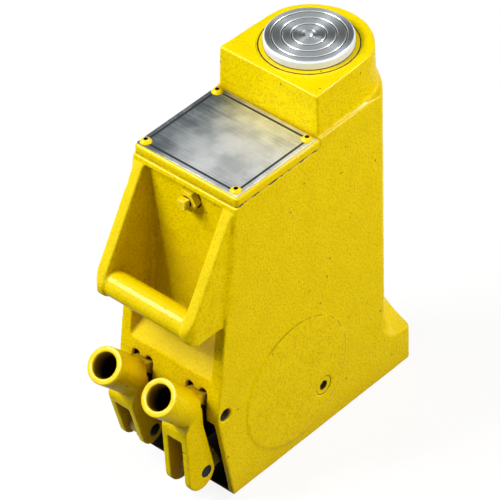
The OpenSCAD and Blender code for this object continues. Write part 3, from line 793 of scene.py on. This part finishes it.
@dataclass
class Bench:
    """Mesh work shared by the sub-assemblies, on the frame's nodes and with the finishes."""

    nodes: dict[str, Object]
    finishes: dict[str, Material]
    weld: float = 1e-6
    flat_angle: float = math.radians(0.4)
    sharp_angle: float = math.radians(32.0)

    def welded(self, node: str) -> bmesh.types.BMesh:
        """Copies a node's mesh with its split corners joined and flat faces merged.

        Args:
            node: the frame's node.

        Returns:
            The copy, for more work.
        """
        bm = bmesh.new()
        bm.from_mesh(self.nodes[node].data)
        bmesh.ops.remove_doubles(bm, verts=bm.verts, dist=self.weld)
        bmesh.ops.dissolve_limit(bm, angle_limit=self.flat_angle, verts=bm.verts, edges=bm.edges)
        return bm

    @staticmethod
    def to_object(bm: bmesh.types.BMesh, name: str) -> Object:
        """Turns a mesh in the making into a linked object.

        Args:
            bm: the mesh in the making, which is freed.
            name: the new object.

        Returns:
            The new object.
        """
        mesh = bpy.data.meshes.new(name)
        bm.to_mesh(mesh)
        bm.free()
        return add_object(name, mesh)

    @staticmethod
    def shade(obj: Object, angle: float) -> None:
        """Shades smooth, with edges over the angle left sharp.

        Args:
            obj: the piece.
            angle: the angle in degrees.
        """
        mesh = obj.data
        mesh.polygons.foreach_set("use_smooth", [True] * len(mesh.polygons))
        mesh.set_sharp_from_angle(angle=math.radians(angle))

    def machined(
        self, node: str, name: str, edge: float, segments: int = 2,
        finish: str = "trim_enamel", body: Body = Body.JACK, slot: Slot = Slot.PAINT,
    ) -> Object:
        """Puts a copy with rounded edges in a node's place.

        Args:
            node: the frame's node.
            name: the new piece.
            edge: the rounding's width.
            segments: faces across the rounding.
            finish: the piece's material.
            body: the moving body that carries it.
            slot: its slot in the record.

        Returns:
            The new object.
        """
        bm = self.welded(node)
        sharp = [e for e in bm.edges if len(e.link_faces) == 2 and e.calc_face_angle(0.0) > self.sharp_angle]
        bmesh.ops.bevel(
            bm, geom=sharp, offset=edge, segments=segments, profile=0.5, affect="EDGES", clamp_overlap=True
        )
        bmesh.ops.triangulate(bm, faces=[f for f in bm.faces if len(f.verts) > 4])
        obj = self.to_object(bm, name)
        self.shade(obj, angle=40.0)
        obj.modifiers.new("flat_faces", "WEIGHTED_NORMAL").keep_sharp = True
        self.place(obj, body, slot, finish, [node])
        return obj

    def softened(self, node: str, name: str, voxel: float, rounds: int) -> Object:
        """Copies a node as a casting: a fine even mesh whose edges are rounded.

        Args:
            node: the frame's node.
            name: the new piece.
            voxel: size of the even mesh.
            rounds: how often each point moves halfway to its neighbours' middle.

        Returns:
            The new object.
        """
        obj = self.to_object(self.welded(node), name)
        remesh = obj.modifiers.new("even", "REMESH")
        remesh.mode = "VOXEL"
        remesh.voxel_size = voxel
        graph = bpy.context.evaluated_depsgraph_get()
        mesh = bpy.data.meshes.new_from_object(obj.evaluated_get(graph))
        obj.modifiers.clear()
        old = obj.data
        obj.data = mesh
        bpy.data.meshes.remove(old)
        mesh.name = name
        self.relax(mesh, rounds)
        self.shade(obj, angle=180.0)
        return obj

    @staticmethod
    def points(mesh: Mesh) -> np.ndarray:
        """Gives the mesh's points as an array.

        Args:
            mesh: the mesh.

        Returns:
            A row of x, y, z for each point.
        """
        flat = np.empty(len(mesh.vertices) * 3)
        mesh.vertices.foreach_get("co", flat)
        return flat.reshape(-1, 3)

    @staticmethod
    def move(mesh: Mesh, points: np.ndarray) -> None:
        """Puts the mesh's points in new places."""
        mesh.vertices.foreach_set("co", points.ravel())
        mesh.update()

    @classmethod
    def relax(cls, mesh: Mesh, rounds: int, share_of: Optional[PerPoint] = None) -> None:
        """Moves each point towards its neighbours' middle, several times.

        Args:
            mesh: the mesh to smooth.
            rounds: how often the points move.
            share_of: how much of the move each point makes, 0 to 1, or all of it.
        """
        points = cls.points(mesh)
        pace = 0.5 * share_of(points) if share_of else 0.5
        count = len(points)
        flat = np.empty(len(mesh.edges) * 2, np.int32)
        mesh.edges.foreach_get("vertices", flat)
        a, b = flat.reshape(-1, 2).T
        ends = np.concatenate((a, b))
        others = np.concatenate((b, a))
        share = np.maximum(np.bincount(ends, minlength=count), 1)
        for _ in range(rounds):
            for axis in range(3):
                total = np.bincount(ends, weights=points[others, axis], minlength=count)
                points[:, axis] += pace * (total / share - points[:, axis])
        cls.move(mesh, points)

    @classmethod
    def roughen(cls, mesh: Mesh, lift: Callable[[Vector], float]) -> None:
        """Moves each point along its normal by a height that depends on its place.

        Args:
            mesh: the mesh to move.
            lift: gives the height at a place.
        """
        points = cls.points(mesh)
        normals = np.empty(len(points) * 3)
        mesh.vertex_normals.foreach_get("vector", normals)
        heights = np.array([lift(Vector(p)) for p in points])
        cls.move(mesh, points + normals.reshape(-1, 3) * heights[:, None])

    def lathe(self, profile: Profile, name: str, steps: int) -> Object:
        """Turns a closed outline round the Z axis.

        Args:
            profile: radii and heights, in order round the outline.
            name: the new piece.
            steps: faces round the axis.

        Returns:
            The new object.
        """
        bm = bmesh.new()
        rows = [
            [bm.verts.new((r * math.cos(t), r * math.sin(t), z)) for r, z in profile]
            for t in (math.tau * i / steps for i in range(steps))
        ]
        for i, row in enumerate(rows):
            after = rows[(i + 1) % steps]
            for j in range(len(profile)):
                k = (j + 1) % len(profile)
                bm.faces.new((row[j], after[j], after[k], row[k]))
        bmesh.ops.recalc_face_normals(bm, faces=bm.faces)
        obj = self.to_object(bm, name)
        self.shade(obj, angle=20.0)
        return obj

    def inlay(
        self, profile: Profile, name: str, steps: int, finish: str = "gap_shade_and_dirt", move: Optional[Matrix] = None
    ) -> None:
        """Lathes a dark ring that no node has, moves it to its place and fixes it to the jack's body. With
        its usual finish the ring is painted shade in a gap.

        Args:
            profile: radii and heights, in order round the outline.
            name: the new piece.
            steps: faces round the axis.
            finish: the piece's material.
            move: takes the ring from the Z axis to its place, where it lies elsewhere.
        """
        ring = self.lathe(profile, name, steps)
        if move is not None:
            ring.data.transform(move)
        self.place(ring, Body.JACK, Slot.DARK, finish)

    def place(self, obj: Object, body: Body, slot: Slot, finish: str, stands_for: Iterable[str] = ()) -> None:
        """Gives a new piece its finish and body, and hides the nodes that it stands for.

        Args:
            obj: the new piece.
            body: the moving body that carries it.
            slot: not used.
            finish: its material.
            stands_for: the nodes that it replaces.
        """
        obj.data.materials.append(self.finishes[finish])
        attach(obj, body.value)
        if stands_for:
            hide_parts(*stands_for)
        LOG.info("piece %s", obj.name)

    def dress(self, finish: str, *nodes: str) -> None:
        """Gives nodes that stay their finish.

        Args:
            finish: the nodes' material.
            nodes: the frame's nodes.
        """
        for node in nodes:
            mesh = self.nodes[node].data
            mesh.materials.clear()
            mesh.materials.append(self.finishes[finish])
            LOG.info("node %s", node)

    def refinish(self, obj: Object, finish: str, inside: PerPoint) -> None:
        """Gives a second finish to the faces whose middles pass a test.

        Args:
            obj: the piece.
            finish: the second material.
            inside: tells from rows of x, y, z which faces take it.
        """
        mesh = obj.data
        mesh.materials.append(self.finishes[finish])
        middles = np.empty(len(mesh.polygons) * 3)
        mesh.polygons.foreach_get("center", middles)
        index = np.empty(len(mesh.polygons), np.int32)
        mesh.polygons.foreach_get("material_index", index)
        index[inside(middles.reshape(-1, 3))] = len(mesh.materials) - 1
        mesh.polygons.foreach_set("material_index", index)


@dataclass
class CastingSet:
    """Body casting with its cavity, the bores in its sides and the side plug."""

    voxel: float = 0.9 * MM
    rounds: int = 4
    wave: float = 0.12 * MM
    wave_scale: float = 90.0
    ripple_scale: float = 260.0
    lump: float = 0.8 * MM
    lump_scale: float = 110.0
    lump_shift: Point = (3.1, 7.7, 1.3)
    lump_z: float = 190.0 * MM
    lump_tall: Range = (60.0 * MM, 0.0)
    lump_wide: Range = (10.0 * MM, -25.0 * MM)
    pocket_y: Range = (-140.0 * MM, -128.0 * MM)
    pocket_half: float = 40.0 * MM
    pocket_low: float = 130.0 * MM
    ledge_z: float = 275.0 * MM
    ledge_top: float = 276.7 * MM
    head_inset: float = 2.0 * MM
    head_side: Range = (40.0 * MM, 47.0 * MM)
    head_flat: Range = (30.0 * MM, 10.0 * MM)
    front_y: float = -135.0 * MM
    front_lean: float = 0.152
    ear_rounds: int = 45
    ear_low: Range = (172.0 * MM, 180.0 * MM)
    ear_high: Range = (250.0 * MM, 242.0 * MM)
    ear_reach: Range = (9.0 * MM, 5.0 * MM)
    ear_side: Range = (44.0 * MM, 46.0 * MM)
    bore_place: Point = (0.0, -155.0 * MM, 84.0 * MM)
    bore_r: float = 5.44 * MM
    bore_mouth: float = 49.4 * MM
    bore_end: float = 43.2 * MM
    thread_pitch: float = 1.25 * MM
    thread_depth: float = 0.8 * MM
    thread_wall: float = 0.5 * MM
    plug_place: Point = (49.9 * MM, -48.0 * MM, 40.0 * MM)
    plug_edge: float = 0.5 * MM
    plug_socket_r: float = 3.92 * MM
    plug_gap_r: Range = (7.8 * MM, 8.7 * MM)
    plug_gap_z: Range = (-1.0 * MM, 0.15 * MM)

    def build(self, bench: Bench) -> None:
        """Makes every piece of the set.

        Args:
            bench: the mesh work, with the frame's nodes and the finishes.
        """
        body = bench.softened("body_casting", "body_casting_painted", self.voxel, self.rounds)
        bench.relax(body.data, self.ear_rounds, self._ear_root)
        self._set_in_head(bench, body.data)
        bench.roughen(body.data, self._lift)
        bench.place(body, Body.JACK, Slot.PAINT, "casting_enamel", ["body_casting"])
        for name, side in (("thread_left", -1), ("thread_right", 1)):
            turn = quarter_turn(self.bore_place, "Y", side)
            bench.inlay(self._thread_outline(), name, steps=64, finish="thread_stained", move=turn)
        plug = bench.machined("side_plug", "side_plug_painted", self.plug_edge)
        _, y, z = self.plug_place
        # The plug's hexagon socket takes painted shade and dirt.
        bench.refinish(plug, "gap_shade_and_dirt", lambda p: np.hypot(p[:, 1] - y, p[:, 2] - z) < self.plug_socket_r)
        # Dark ring round the plug: painted shade in the gap round it.
        gap = ring_outline(*self.plug_gap_r, *self.plug_gap_z)
        bench.inlay(gap, "side_plug_gap", steps=72, move=quarter_turn(self.plug_place, "Y"))

    def _lift(self, p: Vector) -> float:
        """Casting's waviness, stronger on the back wall of the handle pocket.

        Args:
            p: a point of the casting.

        Returns:
            How far the point moves along its normal.
        """
        height = self.wave * noise.noise(p * self.wave_scale)
        height += 0.5 * self.wave * noise.noise(p * self.ripple_scale)
        front, back = self.pocket_y
        if front < p.y < back and abs(p.x) < self.pocket_half and p.z > self.pocket_low:
            near = ramp(abs(p.z - self.lump_z), *self.lump_tall) * ramp(p.x, *self.lump_wide)
            height += self.lump * near * noise.noise(p * self.lump_scale + Vector(self.lump_shift))
        return height

    def _set_in_head(self, bench: Bench, mesh: Mesh) -> None:
        """Draws the head's flat sides in, so that a bright ledge runs along their foot.

        Args:
            bench: the mesh work.
            mesh: the casting's mesh.
        """
        points = bench.points(mesh)
        x, y, z = points.T
        share = ramp(z, self.ledge_z, self.ledge_top) * ramp(np.abs(x), *self.head_side)
        points[:, 0] -= np.sign(x) * self.head_inset * share * ramp(y, *self.head_flat)
        bench.move(mesh, points)

    def _ear_root(self, points: np.ndarray) -> np.ndarray:
        """Gives 1 where the handle's ears run into the flat sides, and 0 elsewhere.

        Args:
            points: rows of x, y, z.

        Returns:
            A share for each point.
        """
        x, y, z = points.T
        front = self.front_y - (self.ledge_z - z) * self.front_lean
        tall = np.minimum(ramp(z, *self.ear_low), ramp(z, *self.ear_high))
        return tall * ramp(np.abs(y - front), *self.ear_reach) * ramp(np.abs(x), *self.ear_side)

    def _thread_outline(self) -> Profile:
        """Outline of the thread that shows in the mouth of a fulcrum bore.

        Returns:
            Radii and heights, in order round the outline.
        """
        turns = int((self.bore_mouth - self.bore_end) / self.thread_pitch)
        wall = self.bore_r + self.thread_wall
        points = [(wall, self.bore_end)]
        for i in range(turns):
            z = self.bore_end + i * self.thread_pitch
            points += [(self.bore_r, z), (self.bore_r - self.thread_depth, z + self.thread_pitch / 2)]
        top = self.bore_end + turns * self.thread_pitch
        return [*points, (self.bore_r, top), (wall, top)]


@dataclass
class CoverSet:
    """Reservoir cover with its gasket, bare plate and button screws."""

    voxel: float = 0.7 * MM
    rounds: int = 3
    plate_edge: float = 0.3 * MM
    screw_edge: float = 0.25 * MM
    screw_inset: float = 4.6 * MM
    socket_r: float = 1.8 * MM

    def build(self, bench: Bench) -> None:
        """Makes every piece of the set.

        Args:
            bench: the mesh work, with the frame's nodes and the finishes.
        """
        cover = bench.softened("top_cover", "top_cover_painted", self.voxel, self.rounds)
        bench.place(cover, Body.JACK, Slot.PAINT, "trim_enamel", ["top_cover"])
        bench.machined(
            "nameplate", "bare_plate_sheet", self.plate_edge, finish="bare_plate_brushed", slot=Slot.PLATE
        )
        screws = bench.machined("cover_screws", "cover_screws_painted", self.screw_edge)
        # The screws' hexagon sockets take painted shade and dirt.
        bench.refinish(screws, "gap_shade_and_dirt", self._in_socket)
        bench.dress("painted_gasket", "cover_gasket")

    def _in_socket(self, middles: np.ndarray) -> np.ndarray:
        """Tells which face middles lie in a screw's hexagon socket.

        Args:
            middles: rows of x, y, z.

        Returns:
            True for each face that lies in one.
        """
        low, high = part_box("nameplate")
        inset = self.screw_inset
        away = [
            np.abs(middles[:, i : i + 1] - (low[i] + inset, high[i] - inset)).min(axis=1) for i in (0, 1)
        ]
        return (np.hypot(*away) < self.socket_r) & (middles[:, 2] > high[2])


@dataclass
class PlungerSet:
    """Plunger, its turned saddle, and the gland that it runs in."""

    base_z: float = 311.5 * MM
    thick: float = 7.0 * MM
    radius: float = 33.5 * MM
    foot: Profile = ((0.48 * MM, 0.0), (0.1 * MM, 0.25 * MM), (0.0, 0.55 * MM))
    shoulder: Profile = ((0.0, 1.5 * MM), (0.2 * MM, 1.1 * MM), (1.0 * MM, 0.25 * MM), (1.4 * MM, 0.0))
    chamfer: float = 1.2 * MM
    recess: float = 5.4 * MM
    hole: float = 2.9 * MM
    ring_count: int = 3
    ring_depth: float = 0.45 * MM
    ring_half: float = 0.85 * MM
    outer_land: float = 0.65
    lip: float = 0.1 * MM
    floor_slack: float = 0.05 * MM
    screw_edge: float = 0.3 * MM
    gland_edge: float = 0.45 * MM
    gap_r: Range = (36.5 * MM, 37.6 * MM)
    gap_z: Range = (308.55 * MM, 310.55 * MM)

    def build(self, bench: Bench) -> None:
        """Makes every piece of the set.

        Args:
            bench: the mesh work, with the frame's nodes and the finishes.
        """
        saddle = bench.lathe(self._saddle_outline(), "saddle_turned_disc", steps=192)
        bench.place(saddle, Body.PLUNGER, Slot.TURNED, "saddle_turned", ["saddle"])
        # Pale bluish rim: a painted reflection.
        rim = self.radius - self.chamfer
        bench.refinish(saddle, "saddle_rim_sheen", lambda p: np.hypot(p[:, 0], p[:, 1]) > rim)
        # Groove floors painted dark as the shade in the grooves.
        floor = self.base_z + self.thick - self.ring_depth
        bench.refinish(saddle, "gap_shade_and_dirt", lambda p: np.abs(p[:, 2] - floor) < self.floor_slack)
        bench.machined(
            "saddle_screw", "saddle_screw_turned", self.screw_edge, finish="saddle_turned",
            body=Body.PLUNGER, slot=Slot.TURNED,
        )
        bench.machined("gland_ring", "gland_ring_painted", self.gland_edge, segments=3)
        # Dark ring: painted shade in the gap round the gland ring.
        bench.inlay(ring_outline(*self.gap_r, *self.gap_z), "gland_gap", steps=128)
        bench.dress("ram_ground", "plunger", "cylinder_liner")
        bench.dress("bearing_bronze_turned", "piston_bearing")
        bench.dress("seal_rubber_matt", "rod_wiper", "rod_seal", "piston_seal")

    def _saddle_outline(self) -> Profile:
        """Outline of the saddle: soft foot and shoulder, and soft-lipped rings.

        Returns:
            Radii and heights, in order round the outline.
        """
        low = self.base_z
        top = low + self.thick
        middle = low + self.thick / 2
        half, depth, lip = self.ring_half, self.ring_depth, self.lip
        step = (self.radius - self.chamfer - self.recess) / (self.ring_count + self.outer_land)
        points = [(self.hole, low)]
        points += [(self.radius - inset, low + rise) for inset, rise in self.foot]
        points += [(self.radius - inset, top - drop) for inset, drop in self.shoulder]
        for i in range(self.ring_count, 0, -1):
            r = self.recess + i * step
            outer = [(half + lip, 0.0), (half - lip, lip), (half - depth, depth)]
            points += [(r + reach, top - drop) for reach, drop in outer]
            points += [(r - reach, top - drop) for reach, drop in reversed(outer)]
        points += [(self.recess + lip, top), (self.recess, top - lip)]
        return [*points, (self.recess, middle), (self.hole, middle)]


@dataclass
class LeverSet:
    """Two cast levers with their shaft, set screws and fork pins."""

    voxel: float = 0.6 * MM
    rounds: int = 3
    wave: float = 0.08 * MM
    wave_scale: float = 140.0
    pin_edge: float = 0.7 * MM

    def build(self, bench: Bench) -> None:
        """Makes every piece of the set.

        Args:
            bench: the mesh work, with the frame's nodes and the finishes.
        """
        for pump, body in (("load", Body.LOAD_LEVER), ("speed", Body.SPEED_LEVER)):
            lever = bench.softened(f"{pump}_lever", f"{pump}_lever_painted", self.voxel, self.rounds)
            bench.roughen(lever.data, lambda p: self.wave * noise.noise(p * self.wave_scale))
            bench.place(lever, body, Slot.PAINT, "lever_enamel", [f"{pump}_lever"])
            pin = f"{pump}_fork_pin"
            bench.machined(pin, f"{pin}_blackened", self.pin_edge, 3, "pin_blackened", body, Slot.DARK)
        bench.dress("ram_ground", "fulcrum_shaft")
        # Set screws deep in the fulcrum bores, painted dark as shade.
        bench.dress("gap_shade_and_dirt", "fulcrum_set_screws")


@dataclass
class PumpSet:
    """Pistons with their glands and seals."""

    edge: float = 0.6 * MM

    def build(self, bench: Bench) -> None:
        """Makes every piece of the set.

        Args:
            bench: the mesh work, with the frame's nodes and the finishes.
        """
        for pump, body in (("load", Body.LOAD_PISTON), ("speed", Body.SPEED_PISTON)):
            piston, gland = f"{pump}_piston", f"{pump}_pump_gland"
            bench.machined(piston, f"{piston}_dressed", self.edge, 3, "piston_ochre", body, Slot.GROUND)
            bench.machined(gland, f"{gland}_dressed", self.edge, 2, "gland_soot_and_shade", slot=Slot.GROUND)
            bench.dress("seal_rubber_matt", f"{pump}_pump_seal")


@dataclass
class ValveSet:
    """Release valve: hexagon bushing and square-headed stem, with dark rings painted as the shade in the gaps
    round them.
    """

    centre_x: float = 4.0 * MM
    centre_z: float = 252.0 * MM
    bushing_edge: float = 0.7 * MM
    stem_edge: float = 0.5 * MM
    wall_y: float = -132.5 * MM
    wall_gap_r: float = 9.1 * MM
    face_y: float = -138.5 * MM
    face_gap_r: float = 4.7 * MM
    stem_r: float = 3.7 * MM
    gap_slope: float = 0.2 * MM
    gap_thick: float = 0.35 * MM

    def build(self, bench: Bench) -> None:
        """Makes every piece of the set.

        Args:
            bench: the mesh work, with the frame's nodes and the finishes.
        """
        bench.machined("valve_bushing", "valve_bushing_painted", self.bushing_edge, segments=3)
        bench.machined("valve_stem", "valve_stem_painted", self.stem_edge, segments=3, body=Body.VALVE)
        # Dark washers behind the bushing and the stem: painted shade in the gaps.
        for name, y, r in (
            ("valve_wall_gap", self.wall_y, self.wall_gap_r),
            ("valve_stem_gap", self.face_y, self.face_gap_r),
        ):
            washer = [
                (self.stem_r, -self.gap_slope), (r - self.gap_slope, -self.gap_slope), (r, 0.0),
                (r, self.gap_thick), (self.stem_r, self.gap_thick),
            ]
            turn = quarter_turn((self.centre_x, y, self.centre_z), "X")
            bench.inlay(washer, name, steps=48, move=turn)


def point_at(obj: Object, place: Point, aim: Point, forward: str) -> None:
    """Puts an object in its place and turns its forward axis to the aim."""
    obj.location = place
    obj.rotation_euler = (Vector(aim) - obj.location).to_track_quat(forward, "Y").to_euler()


@dataclass
class Lamp:
    """One softbox."""

    name: str
    place: Point
    size: float
    watts: float
    tint: Colour = WHITE
    aim: Point = (0.0, -0.06, 0.15)

    def build(self) -> None:
        """Makes the light and turns it to its aim."""
        data = bpy.data.lights.new(self.name, "AREA")
        data.shape = "DISK"
        data.size = self.size
        data.energy = self.watts
        data.color = self.tint
        point_at(add_object(self.name, data), self.place, self.aim, "-Z")


@dataclass
class Flag:
    """Dark card beside the set, seen by reflections only."""

    name: str
    place: Point
    width: float
    height: float
    tone: float
    aim: Point = (0.0, 0.0, 0.3)

    def build(self) -> None:
        """Makes the card and turns it to its aim."""
        card = add_sheet(self.name, self.width, self.height)
        point_at(card, self.place, self.aim, "Z")
        card.visible_camera = card.visible_diffuse = card.visible_shadow = False
        b = MaterialBuilder(self.name + "_cloth")
        weave = b.clouds(b.place(), 60.0, 2.0)
        b.surface(Base_Color=b.blend(weave, (self.tone,) * 3, (self.tone * 1.3,) * 3), Roughness=0.9)
        card.data.materials.append(b.material)


@dataclass
class Studio:
    """Pale floor, white surroundings, softboxes, a flag and the camera."""

    floor_width: float = 12.0
    floor_tone: float = 0.14
    white_share: float = 0.88
    fill: float = 0.15
    gear: tuple[Lamp | Flag, ...] = (
        Lamp("key_box", (-0.75, -0.92, 1.32), 0.85, 25.5),
        Lamp("key_spark", (-0.42, -1.05, 1.30), 0.1, 5.0),
        Lamp("right_box", (1.48, 0.15, 0.55), 0.5, 13.0, (1.0, 0.91, 0.78)),
        Lamp("cove_spark", (1.15, 0.85, 0.80), 0.1, 3.0),
        Lamp("back_box", (0.45, 0.95, 1.45), 0.4, 9.0),
        Flag("back_flag", (-1.0, 1.3, 1.4), 2.4, 1.3, 0.05),
    )
    azimuth: float = 0.7562
    elevation: float = 0.7009
    roll: float = -0.0365
    focal_px: float = 3831.42
    sensor: float = 36.0
    offset: Point = (-20.79 * MM, 110.406 * MM, 2938.78 * MM)
    pivot: Point = (0.0, -45.8 * MM, 0.0)

    def build(self) -> None:
        """Makes the whole stage."""
        self._camera()
        self._floor()
        self._world()
        for item in self.gear:
            item.build()
        bpy.context.scene.view_settings.view_transform = "Standard"

    def _camera(self) -> None:
        """Long-lens camera at the photograph's angle."""
        turn = (
            Matrix.Rotation(self.azimuth, 4, "Z")
            @ Matrix.Rotation(math.pi / 2 - self.elevation, 4, "X")
            @ Matrix.Rotation(self.roll, 4, "Z")
        )
        data = bpy.data.cameras.new("camera")
        data.sensor_width = self.sensor
        data.lens = self.focal_px / IMAGE_PX * self.sensor
        data.clip_end = 100.0
        camera = add_object("camera", data)
        camera.matrix_world = Matrix.Translation(self.pivot) @ turn @ Matrix.Translation(self.offset)
        bpy.context.scene.camera = camera

    def _floor(self) -> None:
        """Wide floor that shows almost white and keeps the object's shadow."""
        floor = add_sheet("floor", self.floor_width, self.floor_width)
        b = MaterialBuilder("floor_paper")
        tooth = b.clouds(b.place(), 40.0, 3.0)
        seen = self._seen_directly(b)
        grey = b.blend(tooth, (self.floor_tone,) * 3, (self.floor_tone * 1.06,) * 3)
        b.surface(Base_Color=b.blend(seen, grey, WHITE), Roughness=b.vary(tooth, 0.85, 0.95))
        white = b.add("Emission", {"Color": (*WHITE, 1.0), "Strength": 1.0})
        share = b.times(seen, self.white_share)
        mixed = b.add("MixShader", {0: share, 1: b.shader.outputs[0], 2: white.outputs[0]})
        b.feed(b.tree.nodes["Material Output"], "Surface", mixed.outputs[0])
        floor.data.materials.append(b.material)

    @staticmethod
    def _seen_directly(c: NodeCanvas) -> NodeSocket:
        """Gives 1 for camera, glossy and transmission rays.

        Args:
            c: the tree that asks.

        Returns:
            The answer's socket.
        """
        path = c.add("LightPath").outputs
        seen = c.math("MAXIMUM", path["Is Camera Ray"], path["Is Glossy Ray"])
        return c.math("MAXIMUM", seen, path["Is Transmission Ray"])

    def _world(self) -> None:
        """White surroundings that light the object softly."""
        world = bpy.data.worlds.new("studio_white")
        world.use_nodes = True
        bpy.context.scene.world = world
        c = NodeCanvas(world.node_tree)
        background = c.tree.nodes["Background"]
        c.feed(background, "Color", (*WHITE, 1.0))
        c.feed(background, "Strength", c.span(self._seen_directly(c), 0.0, 1.0, self.fill, 1.0))


def main(frame: dict) -> None:
    """Builds the stage and every sub-assembly on the loaded frame.
    """
    logging.basicConfig(level=logging.INFO, format="%(name)s: %(message)s")
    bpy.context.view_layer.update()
    Studio().build()
    bench = Bench(frame["nodes"], make_finishes())
    for assembly in (CastingSet(), CoverSet(), PlungerSet(), LeverSet(), PumpSet(), ValveSet()):
        assembly.build(bench)
    bpy.context.view_layer.update()


if __name__ == "__main__":
    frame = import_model()
    main(frame)
